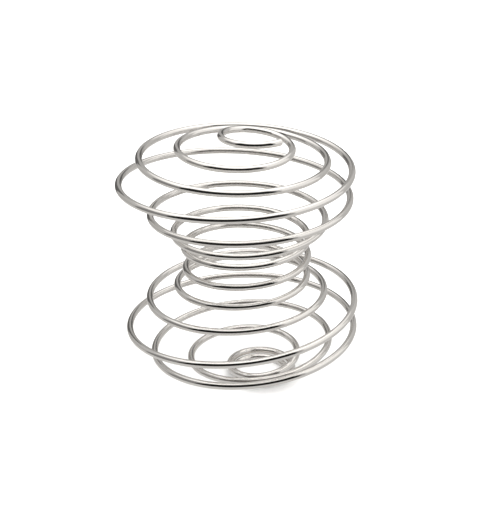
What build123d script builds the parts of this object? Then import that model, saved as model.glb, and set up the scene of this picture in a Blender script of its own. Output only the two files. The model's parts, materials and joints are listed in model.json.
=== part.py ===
from build123d import *
import math
import os

# A whisk ball: one round stainless wire wound into a double cone, which bounces
# about inside a shaker cup. The wire starts at a small open eye on top, spreads over a
# shallow crown to the upper rim, runs in down the upper cone to the waist, spreads again
# down the lower cone to the lower rim, and closes under the base in a small eye, whose last turn
# lies inside and under the one before and carries the whisk.
#
# Frame: millimetres, +Z up, origin on the ground under the middle of the coil. A turn
# starts at the front (-Y) and runs clockwise seen from above, so a quarter turn on it
# is at the left (-X), then at the back (+Y), then at the right (+X).

WIRE_DIAMETER = 1.3
TOP_END = -0.13
BOTTOM_END = 14.7

# The winding, one row at each turn number where the maker's mandrel changes:
# turn, radius, height, shift to the right, and how far the ring tips up on its right
# in degrees.
WINDING = (
    (-0.15, 7.0, 49.5, 0.8, 0.9),
    (0.25, 5.3, 49.2, 0.4, 0.3),
    (0.75, 8.1, 47.2, -0.1, -0.9),
    (1.5, 14.1, 45.7, -0.9, -2.2),
    (2.0, 17.1, 44.7, -1.4, -1.2),
    (2.5, 19.6, 44.5, -1.6, -0.8),
    (3.0, 21.7, 41.8, -1.8, -0.9),
    (3.5, 21.7, 38.4, -1.3, -0.4),
    (4.25, 16.6, 34.8, -1.4, 1.2),
    (5.0, 14.6, 31.8, -0.3, 0.8),
    (6.0, 11.1, 28.1, -0.5, 0.5),
    (7.0, 12.1, 24.6, -0.6, 0.6),
    (7.25, 11.5, 23.3, -0.2, 0.6),
    (7.6, 12.0, 22.0, -0.7, 0.7),
    (8.0, 12.1, 20.6, -0.9, 1.0),
    (9.0, 16.6, 18.0, -0.5, 2.7),
    (9.75, 21.0, 16.0, -0.7, 3.4),
    (10.5, 21.9, 10.7, -0.4, 3.9),
    (11.25, 17.8, 7.7, -0.2, 4.9),
    (12.0, 13.6, 6.0, 1.1, 4.9),
    (12.75, 8.5, 3.6, 1.1, 4.6),
    (13.25, 5.9, 2.05, 2.4, 2.0),
    (13.5, 6.5, 1.3, 2.4, 1.0),
    (13.75, 6.3, 1.1, 2.4, 0.5),
    (14.1, 5.3, 0.72, 2.3, 0.0),
    (14.4, 5.0, 0.65, 2.4, 0.0),
    (14.75, 5.0, 0.65, 2.4, 0.0),
)

SECTIONS_PER_TURN = 16

# The stretches of the wire, from the top end down. Each starts at its turn number and
# runs to where the next one starts.
STRETCHES = (
    ("top_eye", TOP_END),
    ("top_eye_run_out", 0.5),
    ("crown_inner_left", 1.0),
    ("crown_inner_right", 1.5),
    ("crown_outer_left", 2.0),
    ("crown_outer_right", 2.5),
    ("upper_rim_left", 3.0),
    ("upper_rim_right", 3.5),
    ("upper_cone_wide_left", 4.0),
    ("upper_cone_wide_right", 4.5),
    ("upper_cone_narrow_left", 5.0),
    ("upper_cone_narrow_right", 5.5),
    ("waist_upper_front_left", 6.0),
    ("waist_upper_back_left", 6.25),
    ("waist_upper_back_right", 6.5),
    ("waist_upper_front_right", 6.75),
    ("waist_lower_front_left", 7.0),
    ("waist_lower_back_left", 7.25),
    ("waist_lower_back_right", 7.5),
    ("waist_lower_front_right", 7.75),
    ("lower_cone_narrow_left", 8.0),
    ("lower_cone_narrow_right", 8.5),
    ("lower_cone_wide_left", 9.0),
    ("lower_cone_wide_right", 9.5),
    ("lower_rim_left", 10.0),
    ("lower_rim_right", 10.5),
    ("base_outer_left", 11.0),
    ("base_outer_right", 11.5),
    ("base_inner_left", 12.0),
    ("base_inner_right", 12.5),
    ("bottom_eye_upper_turn", 13.0),
    ("bottom_eye_lower_turn", 14.0),
)


def spline_slopes(turns, values):
    """The slope at each row of the natural cubic spline through the values."""
    count = len(turns)
    gaps = [b - a for a, b in zip(turns, turns[1:])]
    rises = [(b - a) / gap for a, b, gap in zip(values, values[1:], gaps)]
    diagonal = [2 / gaps[0]]
    right = [3 * rises[0] / gaps[0]]
    for i in range(1, count):
        last = i == count - 1
        ahead = 0 if last else 1 / gaps[i]
        pull = 0 if last else 3 * rises[i] / gaps[i]
        factor = 1 / gaps[i - 1] / diagonal[-1]
        diagonal.append(2 / gaps[i - 1] + 2 * ahead - factor / gaps[i - 1])
        right.append(3 * rises[i - 1] / gaps[i - 1] + pull - factor * right[-1])
    slopes = [right[-1] / diagonal[-1]]
    for i in range(count - 2, -1, -1):
        slopes.insert(0, (right[i] - slopes[0] / gaps[i]) / diagonal[i])
    return slopes


def smooth_curve(turns, values):
    """A function that gives the smooth value at any turn number."""
    slopes = spline_slopes(turns, values)

    def value_at(turn):
        row = max(i for i in range(len(turns) - 1) if i == 0 or turns[i] <= turn)
        gap = turns[row + 1] - turns[row]
        t = (turn - turns[row]) / gap
        start = values[row] * (1 + 2 * t) + slopes[row] * gap * t
        end = values[row + 1] * (3 - 2 * t) - slopes[row + 1] * gap * (1 - t)
        return start * (1 - t) ** 2 + end * t**2

    return value_at


TURNS, *COLUMNS = zip(*WINDING)
RADIUS, HEIGHT, SHIFT, TIP = (smooth_curve(TURNS, column) for column in COLUMNS)


def bearing(turn):
    """The direction from the axis to the wire, as an angle from +X."""
    return -math.pi / 2 - 2 * math.pi * turn


def wire_centre(turn):
    """The wire's centre line at a turn number, before the coil is centred."""
    angle = bearing(turn)
    across = RADIUS(turn) * math.cos(angle)
    rise = across * math.tan(math.radians(TIP(turn)))
    return Vector(SHIFT(turn) + across, RADIUS(turn) * math.sin(angle), HEIGHT(turn) + rise)


def centring():
    """The move that puts the coil's middle on the Z axis and its lowest wire on the ground."""
    count = round((BOTTOM_END - TOP_END) * SECTIONS_PER_TURN * 8)
    step = (BOTTOM_END - TOP_END) / count
    line = [wire_centre(TOP_END + step * i) for i in range(count + 1)]
    middle_x = (min(p.X for p in line) + max(p.X for p in line)) / 2
    middle_y = (min(p.Y for p in line) + max(p.Y for p in line)) / 2
    return Vector(-middle_x, -middle_y, WIRE_DIAMETER / 2 - min(p.Z for p in line))


CENTRING = centring()


def section(turn):
    """The wire's round section, standing in the upright plane through the axis."""
    angle = bearing(turn)
    outward = (math.cos(angle), math.sin(angle), 0)
    along = (math.sin(angle), -math.cos(angle), 0)
    return Plane(wire_centre(turn) + CENTRING, outward, along) * Circle(WIRE_DIAMETER / 2)


def stretch(start, end):
    """The wire from one turn number to another, cut off upright at both ends."""
    count = math.ceil((end - start) * SECTIONS_PER_TURN)
    return loft([section(start + (end - start) * i / count) for i in range(count + 1)])


def write_stretches():
    os.makedirs("parts", exist_ok=True)
    starts = [start for _, start in STRETCHES]
    for (name, start), end in zip(STRETCHES, starts[1:] + [BOTTOM_END]):
        export_step(stretch(start, end), f"parts/{name}.step")


write_stretches()
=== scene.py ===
"""A stainless wire whisk ball: one springy wire wound as a double cone.

The wire is made in named stretches, from the open eye on top to the small eye that it stands on.
Where two stretches give along the axis, the lower one is left on neither body and stays where
it is wound. Where they meet at a hinge the wire only twists, so the lower one turns whole.
"""

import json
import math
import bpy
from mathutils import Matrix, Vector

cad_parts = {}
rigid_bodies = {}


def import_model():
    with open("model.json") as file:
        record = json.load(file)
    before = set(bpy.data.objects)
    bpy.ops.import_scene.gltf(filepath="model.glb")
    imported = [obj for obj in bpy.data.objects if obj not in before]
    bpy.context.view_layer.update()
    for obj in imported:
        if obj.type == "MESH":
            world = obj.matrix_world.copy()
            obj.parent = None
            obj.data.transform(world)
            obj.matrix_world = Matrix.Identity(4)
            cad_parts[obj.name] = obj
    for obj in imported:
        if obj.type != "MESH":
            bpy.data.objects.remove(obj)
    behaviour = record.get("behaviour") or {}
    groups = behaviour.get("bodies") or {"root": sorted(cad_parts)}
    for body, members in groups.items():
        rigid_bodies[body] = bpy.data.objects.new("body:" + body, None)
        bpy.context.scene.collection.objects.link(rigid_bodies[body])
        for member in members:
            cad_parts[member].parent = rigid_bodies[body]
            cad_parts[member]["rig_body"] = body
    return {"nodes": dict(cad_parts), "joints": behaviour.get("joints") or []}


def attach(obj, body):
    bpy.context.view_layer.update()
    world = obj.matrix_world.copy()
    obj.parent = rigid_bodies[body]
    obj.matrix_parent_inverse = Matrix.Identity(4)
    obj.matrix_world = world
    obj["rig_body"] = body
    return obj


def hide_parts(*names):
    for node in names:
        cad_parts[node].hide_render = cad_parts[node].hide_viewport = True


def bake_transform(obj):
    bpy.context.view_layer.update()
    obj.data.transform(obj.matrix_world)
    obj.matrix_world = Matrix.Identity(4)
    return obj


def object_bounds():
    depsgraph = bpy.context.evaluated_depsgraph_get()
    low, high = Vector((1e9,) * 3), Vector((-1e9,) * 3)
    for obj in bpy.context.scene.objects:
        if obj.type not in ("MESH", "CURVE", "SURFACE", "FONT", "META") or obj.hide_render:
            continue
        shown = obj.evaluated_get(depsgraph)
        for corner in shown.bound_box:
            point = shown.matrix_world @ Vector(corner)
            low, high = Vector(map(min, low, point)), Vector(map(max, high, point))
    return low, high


bl_info = {
    "name": "Wire Whisk Ball",
    "version": (1, 0, 0),
    "blender": (4, 5, 0),
    "location": "View3D > Sidebar > Whisk",
    "description": "Winds a stainless wire whisk ball and sets it on a pale studio floor",
    "category": "Add Mesh",
}

import bpy
from bpy.props import FloatProperty, FloatVectorProperty, IntProperty, PointerProperty
from mathutils import Vector

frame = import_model()
CAD_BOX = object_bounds()
NODES = frame["nodes"]

MM = 0.001

# ---------------------------------------------------------------- the winding

TOP_END = -0.13
BOTTOM_END = 14.7

# Turn number, radius, height, shift to the right, all three in millimetres, and how far the
# ring tips up on its right, in degrees. A turn starts at the front and runs clockwise seen
# from above.
WINDING = (
    (-0.15, 7.0, 49.5, 0.8, 0.9),
    (0.25, 5.3, 49.2, 0.4, 0.3),
    (0.75, 8.1, 47.2, -0.1, -0.9),
    (1.5, 14.1, 45.7, -0.9, -2.2),
    (2.0, 17.1, 44.7, -1.4, -1.2),
    (2.5, 19.6, 44.5, -1.6, -0.8),
    (3.0, 21.7, 41.8, -1.8, -0.9),
    (3.5, 21.7, 38.4, -1.3, -0.4),
    (4.25, 16.6, 34.8, -1.4, 1.2),
    (5.0, 14.6, 31.8, -0.3, 0.8),
    (6.0, 11.1, 28.1, -0.5, 0.5),
    (7.0, 12.1, 24.6, -0.6, 0.6),
    (7.25, 11.5, 23.3, -0.2, 0.6),
    (7.6, 12.0, 22.0, -0.7, 0.7),
    (8.0, 12.1, 20.6, -0.9, 1.0),
    (9.0, 16.6, 18.0, -0.5, 2.7),
    (9.75, 21.0, 16.0, -0.7, 3.4),
    (10.5, 21.9, 10.7, -0.4, 3.9),
    (11.25, 17.8, 7.7, -0.2, 4.9),
    (12.0, 13.6, 6.0, 1.1, 4.9),
    (12.75, 8.5, 3.6, 1.1, 4.6),
    (13.25, 5.9, 2.05, 2.4, 2.0),
    (13.5, 6.5, 1.3, 2.4, 1.0),
    (13.75, 6.3, 1.1, 2.4, 0.5),
    (14.1, 5.3, 0.72, 2.3, 0.0),
    (14.4, 5.0, 0.65, 2.4, 0.0),
    (14.75, 5.0, 0.65, 2.4, 0.0),
)

# The stretches of the wire from the top end down, each with the turn number it starts at.
STRETCHES = (
    ("top_eye", TOP_END),
    ("top_eye_run_out", 0.5),
    ("crown_inner_left", 1.0),
    ("crown_inner_right", 1.5),
    ("crown_outer_left", 2.0),
    ("crown_outer_right", 2.5),
    ("upper_rim_left", 3.0),
    ("upper_rim_right", 3.5),
    ("upper_cone_wide_left", 4.0),
    ("upper_cone_wide_right", 4.5),
    ("upper_cone_narrow_left", 5.0),
    ("upper_cone_narrow_right", 5.5),
    ("waist_upper_front_left", 6.0),
    ("waist_upper_back_left", 6.25),
    ("waist_upper_back_right", 6.5),
    ("waist_upper_front_right", 6.75),
    ("waist_lower_front_left", 7.0),
    ("waist_lower_back_left", 7.25),
    ("waist_lower_back_right", 7.5),
    ("waist_lower_front_right", 7.75),
    ("lower_cone_narrow_left", 8.0),
    ("lower_cone_narrow_right", 8.5),
    ("lower_cone_wide_left", 9.0),
    ("lower_cone_wide_right", 9.5),
    ("lower_rim_left", 10.0),
    ("lower_rim_right", 10.5),
    ("base_outer_left", 11.0),
    ("base_outer_right", 11.5),
    ("base_inner_left", 12.0),
    ("base_inner_right", 12.5),
    ("bottom_eye_upper_turn", 13.0),
    ("bottom_eye_lower_turn", 14.0),
)
NAMES = [name for name, _ in STRETCHES]
STARTS = [start for _, start in STRETCHES] + [BOTTOM_END]


def spline_slopes(turns, values):
    """The slope at each row of the natural cubic spline through the values."""
    count = len(turns)
    gaps = [b - a for a, b in zip(turns, turns[1:])]
    rises = [(b - a) / gap for a, b, gap in zip(values, values[1:], gaps)]
    diagonal = [2 / gaps[0]]
    right = [3 * rises[0] / gaps[0]]
    for i in range(1, count):
        last = i == count - 1
        ahead = 0 if last else 1 / gaps[i]
        pull = 0 if last else 3 * rises[i] / gaps[i]
        factor = 1 / gaps[i - 1] / diagonal[-1]
        diagonal.append(2 / gaps[i - 1] + 2 * ahead - factor / gaps[i - 1])
        right.append(3 * rises[i - 1] / gaps[i - 1] + pull - factor * right[-1])
    slopes = [right[-1] / diagonal[-1]]
    for i in range(count - 2, -1, -1):
        slopes.insert(0, (right[i] - slopes[0] / gaps[i]) / diagonal[i])
    return slopes


def smooth_curve(turns, values):
    """A function that gives the smooth value at any turn number."""
    slopes = spline_slopes(turns, values)

    def value_at(turn):
        row = max(i for i in range(len(turns) - 1) if i == 0 or turns[i] <= turn)
        gap = turns[row + 1] - turns[row]
        t = (turn - turns[row]) / gap
        start = values[row] * (1 + 2 * t) + slopes[row] * gap * t
        end = values[row + 1] * (3 - 2 * t) - slopes[row + 1] * gap * (1 - t)
        return start * (1 - t) ** 2 + end * t**2

    return value_at


TURNS, *COLUMNS = zip(*WINDING)
RADIUS, HEIGHT, SHIFT, TIP = (smooth_curve(TURNS, column) for column in COLUMNS)


CENTRING_STEPS = 2000  # points tried along the wire for the ends of its box
NUDGE = 0.0005  # turns, each way along the wire, for its direction


def bearing(turn):
    """The direction from the axis to the wire, as an angle from +X."""
    return -math.pi / 2 - 2 * math.pi * turn


def wire_centre(turn):
    """The wire's centre line at a turn number, in metres, before the coil is centred."""
    angle = bearing(turn)
    across = RADIUS(turn) * math.cos(angle)
    rise = across * math.tan(math.radians(TIP(turn)))
    place = SHIFT(turn) + across, RADIUS(turn) * math.sin(angle), HEIGHT(turn) + rise
    return Vector(place) * MM


def centring():
    """The move that puts the middle of the coil's box on the middle of the CAD box."""
    step = (BOTTOM_END - TOP_END) / CENTRING_STEPS
    line = [wire_centre(TOP_END + step * i) for i in range(CENTRING_STEPS + 1)]
    low = Vector([min(p[k] for p in line) for k in range(3)])
    high = Vector([max(p[k] for p in line) for k in range(3)])
    return (CAD_BOX[0] + CAD_BOX[1]) / 2 - (low + high) / 2


CENTRING = centring()


def centre_at(turn):
    return wire_centre(turn) + CENTRING


def wire_axes(turn):
    """The wire's direction, and the outward and upward directions across it."""
    along = (centre_at(turn + NUDGE) - centre_at(turn - NUDGE)).normalized()
    angle = bearing(turn)
    outward = Vector((math.cos(angle), math.sin(angle), 0))
    outward = (outward - outward.dot(along) * along).normalized()
    return along, outward, outward.cross(along)


# ---------------------------------------------------------------- settings


class WhiskWireSettings(bpy.types.PropertyGroup):
    """Sizes and finish of the wire."""

    diameter: FloatProperty(
        name="Wire Diameter",
        description="Diameter of the round spring wire",
        default=1.3 * MM,
        min=0.5 * MM,
        max=3 * MM,
        unit="LENGTH",
    )
    sides: IntProperty(
        name="Sides",
        description="Faces round the wire",
        default=28,
        min=8,
        max=64,
    )
    ring_spacing: FloatProperty(
        name="Ring Spacing",
        description="Distance between the rings of the mesh along the wire",
        default=0.5 * MM,
        min=0.1 * MM,
        max=2 * MM,
        unit="LENGTH",
    )
    burr: FloatProperty(
        name="Cut Edge",
        description="Rounding of the edge where the wire is cut off",
        default=0.1 * MM,
        min=0.0,
        max=0.3 * MM,
        unit="LENGTH",
    )
    colour: FloatVectorProperty(
        name="Steel Colour",
        description="Colour of the bright stainless steel",
        default=(0.82, 0.80, 0.775),
        min=0.0,
        max=1.0,
        subtype="COLOR",
    )
    dull_colour: FloatVectorProperty(
        name="Dull Colour",
        description="Colour of the steel where handling has dulled it",
        default=(0.68, 0.655, 0.62),
        min=0.0,
        max=1.0,
        subtype="COLOR",
    )
    roughness: FloatProperty(
        name="Roughness",
        description="Roughness of the polished steel",
        default=0.08,
        min=0.0,
        max=1.0,
        subtype="FACTOR",
    )
    line_depth: FloatProperty(
        name="Draw Line Depth",
        description="Depth of the fine lines that the drawing die leaves along the wire",
        default=0.0016 * MM,
        min=0.0,
        max=0.01 * MM,
        precision=6,
        unit="LENGTH",
    )


class WhiskStudioSettings(bpy.types.PropertyGroup):
    """The floor, the lights and the camera."""

    floor_colour: FloatVectorProperty(
        name="Floor Colour",
        description="Colour of the studio floor",
        default=(0.93, 0.93, 0.925),
        min=0.0,
        max=1.0,
        subtype="COLOR",
    )
    ambient: FloatProperty(
        name="Ambient Light",
        description="Strength of the even light from all round",
        default=1.5,
        min=0.0,
        max=5.0,
    )
    softbox: FloatProperty(
        name="Softbox",
        description="Power of the big soft light overhead",
        default=1.5,
        min=0.0,
        max=50.0,
        unit="POWER",
    )
    lens: FloatProperty(
        name="Lens",
        description="Focal length of the camera, for a 36 mm sensor",
        default=84.3,
        min=20.0,
        max=200.0,
        unit="CAMERA",
    )
    distance: FloatProperty(
        name="Camera Distance",
        description="Distance from the camera to the point it looks at",
        default=230.5 * MM,
        min=50 * MM,
        max=2.0,
        unit="LENGTH",
    )
    elevation: FloatProperty(
        name="Camera Elevation",
        description="How far the camera looks down",
        default=math.radians(24.75),
        min=0.0,
        max=math.pi / 2,
        unit="ROTATION",
    )


# ---------------------------------------------------------------- shader maths


class Value:
    """A socket in a material, on which Python's operators add Math nodes."""

    def __init__(self, nodes, socket):
        self.nodes = nodes
        self.socket = socket

    def _math(self, operation, first, second):
        return self.nodes.add("ShaderNodeMath", {"operation": operation}, {0: first, 1: second})

    def __add__(self, other):
        return self._math("ADD", self, other)

    def __radd__(self, other):
        return self._math("ADD", other, self)

    def __mul__(self, other):
        return self._math("MULTIPLY", self, other)

    def __rmul__(self, other):
        return self._math("MULTIPLY", other, self)


# Sockets of a Mix node that are told apart only by number: two colours in, one out.
MIX_FIRST, MIX_SECOND, MIX_RESULT = 6, 7, 2
NOISE_ROUGHNESS = 0.55


class Nodes:
    """The nodes of one material."""

    def __init__(self, material):
        material.use_nodes = True
        self.tree = material.node_tree
        self.tree.nodes.clear()

    def add(self, kind, settings=None, inputs=None, output=0):
        """Adds a node of that type, sets it, and gives its sockets values or links."""
        node = self.tree.nodes.new(kind)
        for name, value in (settings or {}).items():
            if name == "stops":
                self._set_stops(node.color_ramp, value)
            else:
                setattr(node, name, value)
        for name, value in (inputs or {}).items():
            if isinstance(value, Value):
                self.tree.links.new(value.socket, node.inputs[name])
            else:
                node.inputs[name].default_value = value
        return Value(self, node.outputs[output]) if node.outputs else node

    @staticmethod
    def _set_stops(ramp, stops):
        while len(ramp.elements) < len(stops):
            ramp.elements.new(1.0)
        for element, (position, level) in zip(ramp.elements, stops):
            element.position = position
            element.color = (level, level, level, 1.0)

    def attribute(self, name, output):
        return self.add("ShaderNodeAttribute", {"attribute_name": name}, output=output)

    def noise(self, place, repeats, detail):
        """Noise that repeats so many times a metre in each direction."""
        inputs = {0: place, 1: repeats}
        stretched = self.add("ShaderNodeVectorMath", {"operation": "MULTIPLY"}, inputs)
        inputs = {"Vector": stretched, "Scale": 1.0, "Detail": detail, "Roughness": NOISE_ROUGHNESS}
        return self.add("ShaderNodeTexNoise", {"noise_dimensions": "3D"}, inputs)

    def ramp(self, factor, *stops):
        return self.add("ShaderNodeValToRGB", {"stops": stops}, {"Fac": factor})

    def mix(self, factor, first, second):
        inputs = {0: factor, MIX_FIRST: first, MIX_SECOND: second}
        return self.add("ShaderNodeMix", {"data_type": "RGBA"}, inputs, output=MIX_RESULT)

    def bump(self, height, depth, strength=1.0):
        inputs = {"Strength": strength, "Distance": depth, "Height": height}
        return self.add("ShaderNodeBump", inputs=inputs)

    def surface(self, **inputs):
        """Ends the material in a Principled shader, with its sockets named in Python's way."""
        named = {name.replace("_", " ").title(): value for name, value in inputs.items()}
        self.output(self.add("ShaderNodeBsdfPrincipled", inputs=named))

    def output(self, shader):
        self.add("ShaderNodeOutputMaterial", inputs={"Surface": shader})


PLACE_ON_WIRE = "straight_wire"  # where a point would be on the wire laid out straight
RISE = "rise"  # how far up its cloth of the tent a point is, from 0 to 1
WARM_WHITE = (1.0, 0.985, 0.965)


def opaque(colour):
    return (*colour, 1.0)


def warm_grey(level):
    return opaque([level * part for part in WARM_WHITE])


# How often each pattern repeats a metre, along the wire and in the two directions across it.
DRAW_LINES = (250.0, 14000.0, 14000.0)
DULL_PATCHES = (90.0, 700.0, 700.0)
SOFT_WAVES = (220.0, 500.0, 500.0)
SCUFFS = (1500.0, 3500.0, 3500.0)
SHEAR_TEARS = (2000.0, 1500.0, 9000.0)
TEAR_DEPTH = 0.02 * MM


def bright_steel(settings):
    """Drawn and electropolished stainless: fine lines along it, soft dull patches, small scuffs."""
    material = bpy.data.materials.new("bright_steel")
    nodes = Nodes(material)
    place = nodes.attribute(PLACE_ON_WIRE, "Vector")
    lines = nodes.noise(place, DRAW_LINES, 2.0)
    patches = nodes.noise(place, DULL_PATCHES, 3.0)
    waves = nodes.noise(place, SOFT_WAVES, 1.0)
    grit = nodes.noise(place, SCUFFS, 2.0)
    scuffs = nodes.ramp(grit, (0.66, 0.0), (0.74, 1.0))
    dull = nodes.ramp(patches, (0.45, 0.0), (0.75, 1.0))
    wear = 0.35 * dull + 0.25 * scuffs
    height = 0.6 * lines + 0.25 * scuffs + 1.6 * waves
    nodes.surface(
        base_color=nodes.mix(wear, opaque(settings.colour), opaque(settings.dull_colour)),
        metallic=1.0,
        roughness=settings.roughness + 0.05 * dull + 0.12 * scuffs + 0.03 * lines,
        normal=nodes.bump(height, settings.line_depth),
    )
    return material


def sheared_steel(settings):
    """The cut end of the wire: a matt, finely torn face."""
    material = bpy.data.materials.new("sheared_steel")
    nodes = Nodes(material)
    tears = nodes.noise(nodes.attribute(PLACE_ON_WIRE, "Vector"), SHEAR_TEARS, 3.0)
    nodes.surface(
        base_color=nodes.mix(tears, opaque(settings.dull_colour), opaque(settings.colour)),
        metallic=1.0,
        roughness=0.32 + 0.2 * tears,
        normal=nodes.bump(tears, TEAR_DEPTH),
    )
    return material


def material_for(builder, settings):
    """The material that a builder makes under its own name, made when it is first asked for."""
    return bpy.data.materials.get(builder.__name__) or builder(settings)


# ---------------------------------------------------------------- the wire

LENGTH_STEPS = 4000  # along the whole wire, in its table of lengths
SEAM_RING = 0.02 * MM  # a ring this close to each end keeps the shading the same across a seam
CUT_EDGE_RINGS = 5  # in the rounded edge of a cut end
FACE_GAP = 0.0001  # turns, about 8 micrometres: room for two cut faces to turn on a hinge


def length_table():
    """The step in turn number, and the wire's length from its top end at each step."""
    step = (BOTTOM_END - TOP_END) / LENGTH_STEPS
    points = [centre_at(TOP_END + step * i) for i in range(LENGTH_STEPS + 1)]
    lengths = [0.0]
    for a, b in zip(points, points[1:]):
        lengths.append(lengths[-1] + (b - a).length)
    return step, lengths


LENGTH_STEP, LENGTHS = length_table()


def length_to(turn):
    place = (turn - TOP_END) / LENGTH_STEP
    row = min(int(place), len(LENGTHS) - 2)
    return LENGTHS[row] + (place - row) * (LENGTHS[row + 1] - LENGTHS[row])


def ring_turns(start, end, spacing):
    """Turn numbers of the rings of a stretch, with one ring close to each end."""
    length = length_to(end) - length_to(start)
    count = math.ceil(length / spacing)
    seam = SEAM_RING / length * (end - start)
    inner = [start + (end - start) * i / count for i in range(1, count)]
    return [start, start + seam, *inner, end - seam, end]


def cut_rings(settings):
    """Rings of the rounded edge past a cut end, outwards: reach past the end, and radius."""
    angles = [math.pi / 2 * i / CUT_EDGE_RINGS for i in range(1, CUT_EDGE_RINGS + 1)]
    radius, burr = settings.diameter / 2, settings.burr
    return [(burr * math.sin(angle), radius - burr * (1 - math.cos(angle))) for angle in angles]


def stretch_rings(start, end, settings):
    """All rings of a stretch: turn number, reach along the wire from there, and radius."""
    turns = ring_turns(start, end, settings.ring_spacing)
    rings = [(turn, 0.0, settings.diameter / 2) for turn in turns]
    if start == TOP_END:
        rings = [(start, -reach, size) for reach, size in reversed(cut_rings(settings))] + rings
    if end == BOTTOM_END:
        rings += [(end, reach, size) for reach, size in cut_rings(settings)]
    return rings


def ring_points(rings, sides):
    """The points round each ring, and where each would be on the wire laid out straight."""
    points, places = [], []
    for turn, reach, size in rings:
        along, outward, upward = wire_axes(turn)
        middle = centre_at(turn) + reach * along
        distance = length_to(turn) + reach
        for k in range(sides):
            angle = 2 * math.pi * k / sides
            out, up = size * math.cos(angle), size * math.sin(angle)
            points.append(middle + out * outward + up * upward)
            places.append((distance, out, up))
    return points, places


def tube_faces(ring_count, sides):
    """The faces between the rings, then the two flat ends."""
    faces = []
    for i in range(ring_count - 1):
        for k in range(sides):
            a, b = i * sides + k, i * sides + (k + 1) % sides
            faces.append((a, b, b + sides, a + sides))
    last = (ring_count - 1) * sides
    return [*faces, tuple(range(sides - 1, -1, -1)), tuple(range(last, last + sides))]


def sharpen_ends(mesh, ends):
    """Shades the two flat ends flat, with a sharp edge round each."""
    for end in ends:
        end.use_smooth = False
    rims = {key for end in ends for key in end.edge_keys}
    for edge in mesh.edges:
        edge.use_edge_sharp = edge.key in rims


def wire_mesh(name, start, end, settings):
    """A closed tube along the wire between two turn numbers."""
    rings = stretch_rings(start, end, settings)
    points, places = ring_points(rings, settings.sides)
    mesh = bpy.data.meshes.new(name)
    mesh.from_pydata(points, [], tube_faces(len(rings), settings.sides))
    mesh.shade_smooth()
    sharpen_ends(mesh, mesh.polygons[-2:])
    attribute = mesh.attributes.new(PLACE_ON_WIRE, "FLOAT_VECTOR", "POINT")
    attribute.data.foreach_set("vector", [x for place in places for x in place])
    mesh.materials.append(material_for(bright_steel, settings))
    mesh.materials.append(material_for(sheared_steel, settings))
    mesh.polygons[-2].material_index = int(start == TOP_END)
    mesh.polygons[-1].material_index = int(end == BOTTOM_END)
    mesh.validate()
    mesh.update()
    return mesh


def on_the_ground(point):
    return Vector((point.x, point.y, 0))


def is_hinged(own, above):
    """Whether the joint between two bodies is a hinge, about which the wire only twists."""
    pair = {own, above}
    return any(j["type"] == "hinge" and {j["parent"], j["child"]} == pair for j in frame["joints"])


def wind(context, *names):
    """Makes the named stretches. Each goes on its own body if that body is the one above or hinged
    to it; otherwise it is left on no body.

    Below a hinge it turns whole, because the hinge's axis is the wire's own line.
    """
    settings = context.scene.whisk_wire
    for name in names:
        row = NAMES.index(name)
        start, end = STARTS[row], STARTS[row + 1]
        own = NODES[name]["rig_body"]
        above = NODES[NAMES[max(row - 1, 0)]]["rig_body"]
        hinged = is_hinged(own, above)
        mesh = wire_mesh(name, start + FACE_GAP * hinged, end, settings)
        piece = bpy.data.objects.new(f"{name}_wire", mesh)
        context.scene.collection.objects.link(piece)
        if own == above or hinged:
            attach(piece, own)
        else:
            upper, lower = on_the_ground(centre_at(start)), on_the_ground(centre_at(end))
            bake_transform(piece)
        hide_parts(name)
    return {"FINISHED"}


class WHISK_OT_top_eye(bpy.types.Operator):
    """Wind the small open eye on top, with the cut end of the wire"""

    bl_idname = "whisk.top_eye"
    bl_label = "Top Eye"

    def execute(self, context):
        return wind(context, "top_eye", "top_eye_run_out")


class WHISK_OT_crown(bpy.types.Operator):
    """Wind the two shallow turns of the crown"""

    bl_idname = "whisk.crown"
    bl_label = "Crown"

    def execute(self, context):
        wind(context, "crown_inner_left", "crown_inner_right")
        return wind(context, "crown_outer_left", "crown_outer_right")


class WHISK_OT_upper_rim(bpy.types.Operator):
    """Wind the wide upper rim"""

    bl_idname = "whisk.upper_rim"
    bl_label = "Upper Rim"

    def execute(self, context):
        return wind(context, "upper_rim_left", "upper_rim_right")


class WHISK_OT_upper_cone(bpy.types.Operator):
    """Wind the two turns that run in to the waist"""

    bl_idname = "whisk.upper_cone"
    bl_label = "Upper Cone"

    def execute(self, context):
        wind(context, "upper_cone_wide_left", "upper_cone_wide_right")
        return wind(context, "upper_cone_narrow_left", "upper_cone_narrow_right")


class WHISK_OT_waist(bpy.types.Operator):
    """Wind the two narrow turns of the waist"""

    bl_idname = "whisk.waist"
    bl_label = "Waist"

    def execute(self, context):
        return wind(context, *(name for name in NAMES if name.startswith("waist_")))


class WHISK_OT_lower_cone(bpy.types.Operator):
    """Wind the two turns that run out from the waist"""

    bl_idname = "whisk.lower_cone"
    bl_label = "Lower Cone"

    def execute(self, context):
        wind(context, "lower_cone_narrow_left", "lower_cone_narrow_right")
        return wind(context, "lower_cone_wide_left", "lower_cone_wide_right")


class WHISK_OT_lower_rim(bpy.types.Operator):
    """Wind the wide lower rim"""

    bl_idname = "whisk.lower_rim"
    bl_label = "Lower Rim"

    def execute(self, context):
        return wind(context, "lower_rim_left", "lower_rim_right")


class WHISK_OT_base(bpy.types.Operator):
    """Wind the two turns that close the base"""

    bl_idname = "whisk.base"
    bl_label = "Base"

    def execute(self, context):
        wind(context, "base_outer_left", "base_outer_right")
        return wind(context, "base_inner_left", "base_inner_right")


class WHISK_OT_bottom_eye(bpy.types.Operator):
    """Wind the small eye that the whisk stands on"""

    bl_idname = "whisk.bottom_eye"
    bl_label = "Bottom Eye"

    def execute(self, context):
        return wind(context, "bottom_eye_upper_turn", "bottom_eye_lower_turn")


# ---------------------------------------------------------------- the studio

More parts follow.
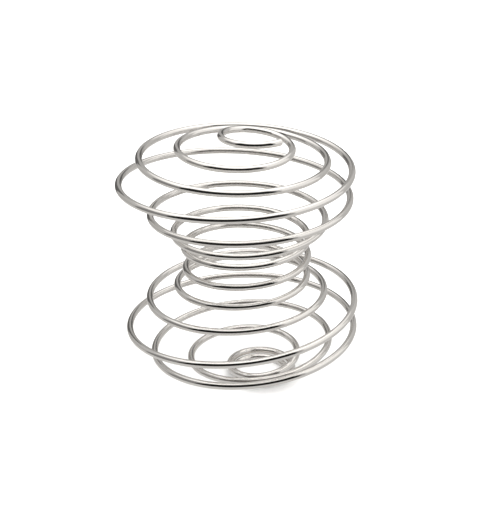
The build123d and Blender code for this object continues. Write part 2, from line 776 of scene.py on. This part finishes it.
LOOK_AT = Vector((1.6 * MM, 0, 25.4 * MM))  # the camera and the tent go round this point
CAMERA_AIM = (0.43 * MM, -1.02 * MM)  # how far right and up of it the camera is aimed
CAMERA_CLIP = (0.01, 20.0)
SOFTBOX_SIZE = (0.5, 0.42)
SOFTBOX_RISE = Vector((0, 0.02, 0.5))  # from LOOK_AT
DAYLIGHT = (1.0, 0.995, 0.985, 1.0)
FLOOR_SIZE = 4.0

# How often the floor paper's patterns repeat a metre, how deep its tooth is, and how much
# darker its clouds are.
FLOOR_TOOTH = (900.0, 900.0, 900.0)
FLOOR_CLOUDS = (6.0, 6.0, 6.0)
TOOTH_DEPTH = 0.05 * MM
CLOUD_SHADE = 0.985

# The light tent, which only the steel sees, with the dark room in front of it. Each cloth has a
# name, the bearings and heights it lies between in degrees, seen from the whisk with bearing 0
# at the front and 90 at the right, and its brightness at its foot and at its top.
TENT_GRID = (36, 12)  # faces round and up each cloth
TENT_RADIUS = 0.3
TENT = (
    ("tent_floor", (-180, 180), (-90, -14), 0.66, 0.66),
    ("tent_wall", (-180, 180), (-14, 36), 0.34, 0.50),
    ("tent_shoulder", (-180, 180), (36, 60), 0.90, 1.50),
    ("tent_roof", (-180, 180), (60, 90), 1.50, 1.50),
)
CLOTH_RADIUS = 0.28
CLOTHS = (
    ("dark_room", (-62, 46), (-12, 48), 0.010, 0.02),
    ("dim_front", (-62, 46), (48, 55), 0.30, 0.50),
    ("dim_corner", (-100, -62), (-14, 34), 0.20, 0.32),
    ("left_wall", (-138, -100), (-14, 36), 0.42, 0.62),
    ("right_window", (52, 112), (-10, 36), 0.74, 1.15),
    ("right_wall", (112, 150), (-14, 36), 0.50, 0.62),
    ("left_gap", (-159, -138), (-8, 26), 0.10, 0.16),
    ("right_gap", (161, 177), (-8, 28), 0.08, 0.16),
)


def pale_floor(settings):
    """Matt white paper with a hint of tooth."""
    material = bpy.data.materials.new("pale_floor")
    nodes = Nodes(material)
    place = nodes.add("ShaderNodeTexCoord", output="Object")
    tooth = nodes.noise(place, FLOOR_TOOTH, 3.0)
    clouds = nodes.noise(place, FLOOR_CLOUDS, 2.0)
    shade = [CLOUD_SHADE * part for part in settings.floor_colour]
    nodes.surface(
        base_color=nodes.mix(clouds, opaque(settings.floor_colour), opaque(shade)),
        roughness=0.85,
        normal=nodes.bump(tooth, TOOTH_DEPTH, 0.15),
    )
    return material


def glow(name, foot, top):
    """A cloth that gives off grey light, from one brightness at its foot to one at its top."""
    material = bpy.data.materials.new(name)
    nodes = Nodes(material)
    tone = nodes.mix(nodes.attribute(RISE, "Fac"), warm_grey(foot), warm_grey(top))
    nodes.output(nodes.add("ShaderNodeEmission", inputs={"Color": tone, "Strength": 1.0}))
    return material


def stage_piece(context, mesh, material):
    mesh.materials.append(material)
    piece = bpy.data.objects.new(mesh.name, mesh)
    context.scene.collection.objects.link(piece)
    return piece


def make_floor(context, settings):
    """A pale floor that the steel doesn't reflect: the tent's own floor stands in for it."""
    half = FLOOR_SIZE / 2
    corners = [(-half, -half, 0), (half, -half, 0), (half, half, 0), (-half, half, 0)]
    mesh = bpy.data.meshes.new("floor")
    mesh.from_pydata(corners, [], [(0, 1, 2, 3)])
    stage_piece(context, mesh, pale_floor(settings)).visible_glossy = False


def tent_point(bearing_angle, climb, radius):
    """A point of the dome round the whisk, from its bearing and its height as an angle."""
    level = math.cos(climb)
    across, ahead = level * math.sin(bearing_angle), -level * math.cos(bearing_angle)
    return LOOK_AT + radius * Vector((across, ahead, math.sin(climb)))


def tent_mesh(name, bearings, heights, radius):
    """A patch of a dome round the whisk, between two bearings and two heights in degrees."""
    columns, rows = TENT_GRID
    points, rises, faces = [], [], []
    for row in range(rows + 1):
        climb = math.radians(heights[0] + (heights[1] - heights[0]) * row / rows)
        for column in range(columns + 1):
            turn = math.radians(bearings[0] + (bearings[1] - bearings[0]) * column / columns)
            points.append(tent_point(turn, climb, radius))
            rises.append(row / rows)
            if row < rows and column < columns:
                first = len(points) - 1
                above = first + columns + 1
                faces.append((first, above, above + 1, first + 1))
    mesh = bpy.data.meshes.new(name)
    mesh.from_pydata(points, [], faces)
    mesh.attributes.new(RISE, "FLOAT", "POINT").data.foreach_set("value", rises)
    return mesh


def make_tent(context, radius, cloths):
    """Hangs cloths on a dome, hidden from everything but the steel's reflections."""
    for name, bearings, heights, foot, top in cloths:
        mesh = tent_mesh(name, bearings, heights, radius)
        cloth = stage_piece(context, mesh, glow(name, foot, top))
        cloth.visible_camera = False
        cloth.visible_diffuse = False
        cloth.visible_shadow = False
        cloth.visible_transmission = False
        cloth.visible_volume_scatter = False


def make_world(context, settings):
    world = bpy.data.worlds.new("even_light")
    context.scene.world = world
    world.use_nodes = True
    background = world.node_tree.nodes["Background"]
    background.inputs["Color"].default_value = DAYLIGHT
    background.inputs["Strength"].default_value = settings.ambient


def make_softbox(context, settings):
    light = bpy.data.lights.new("softbox", "AREA")
    light.shape = "RECTANGLE"
    light.size, light.size_y = SOFTBOX_SIZE
    light.energy = settings.softbox
    box = bpy.data.objects.new("softbox", light)
    box.location = LOOK_AT + SOFTBOX_RISE
    box.visible_glossy = False
    context.scene.collection.objects.link(box)


def make_camera(context, settings):
    data = bpy.data.cameras.new("camera")
    data.lens = settings.lens
    data.clip_start, data.clip_end = CAMERA_CLIP
    camera = bpy.data.objects.new("camera", data)
    context.scene.collection.objects.link(camera)
    tilt = settings.elevation
    back = Vector((0, -math.cos(tilt), math.sin(tilt)))
    up = Vector((0, math.sin(tilt), math.cos(tilt)))
    aim = LOOK_AT + Vector((CAMERA_AIM[0], 0, 0)) + CAMERA_AIM[1] * up
    camera.location = LOOK_AT + settings.distance * back
    camera.rotation_mode = "QUATERNION"
    camera.rotation_quaternion = (camera.location - aim).to_track_quat("Z", "Y")
    context.scene.camera = camera


class WHISK_OT_studio(bpy.types.Operator):
    """Set the floor, the lights and the camera"""

    bl_idname = "whisk.studio"
    bl_label = "Studio"

    def execute(self, context):
        settings = context.scene.whisk_studio
        make_floor(context, settings)
        make_tent(context, TENT_RADIUS, TENT)
        make_tent(context, CLOTH_RADIUS, CLOTHS)
        make_world(context, settings)
        make_softbox(context, settings)
        make_camera(context, settings)
        context.scene.view_settings.view_transform = "Standard"
        return {"FINISHED"}


# ---------------------------------------------------------------- the add-on

BUILD_ORDER = (
    WHISK_OT_top_eye,
    WHISK_OT_crown,
    WHISK_OT_upper_rim,
    WHISK_OT_upper_cone,
    WHISK_OT_waist,
    WHISK_OT_lower_cone,
    WHISK_OT_lower_rim,
    WHISK_OT_base,
    WHISK_OT_bottom_eye,
    WHISK_OT_studio,
)


class WHISK_PT_panel(bpy.types.Panel):
    """Lists the parts of the whisk and their settings"""

    bl_idname = "WHISK_PT_panel"
    bl_label = "Wire Whisk Ball"
    bl_space_type = "VIEW_3D"
    bl_region_type = "UI"
    bl_category = "Whisk"

    def draw(self, context):
        layout = self.layout
        for settings in (context.scene.whisk_wire, context.scene.whisk_studio):
            box = layout.box()
            for name in settings.__annotations__:
                box.prop(settings, name)
        for operator in BUILD_ORDER:
            layout.operator(operator.bl_idname)


CLASSES = (WhiskWireSettings, WhiskStudioSettings, *BUILD_ORDER, WHISK_PT_panel)


def register():
    for cls in CLASSES:
        bpy.utils.register_class(cls)
    bpy.types.Scene.whisk_wire = PointerProperty(type=WhiskWireSettings)
    bpy.types.Scene.whisk_studio = PointerProperty(type=WhiskStudioSettings)


def unregister():
    del bpy.types.Scene.whisk_studio
    del bpy.types.Scene.whisk_wire
    for cls in reversed(CLASSES):
        bpy.utils.unregister_class(cls)


def main():
    register()
    for operator in BUILD_ORDER:
        group, name = operator.bl_idname.split(".")
        getattr(getattr(bpy.ops, group), name)()


if __name__ == "__main__":
    main()
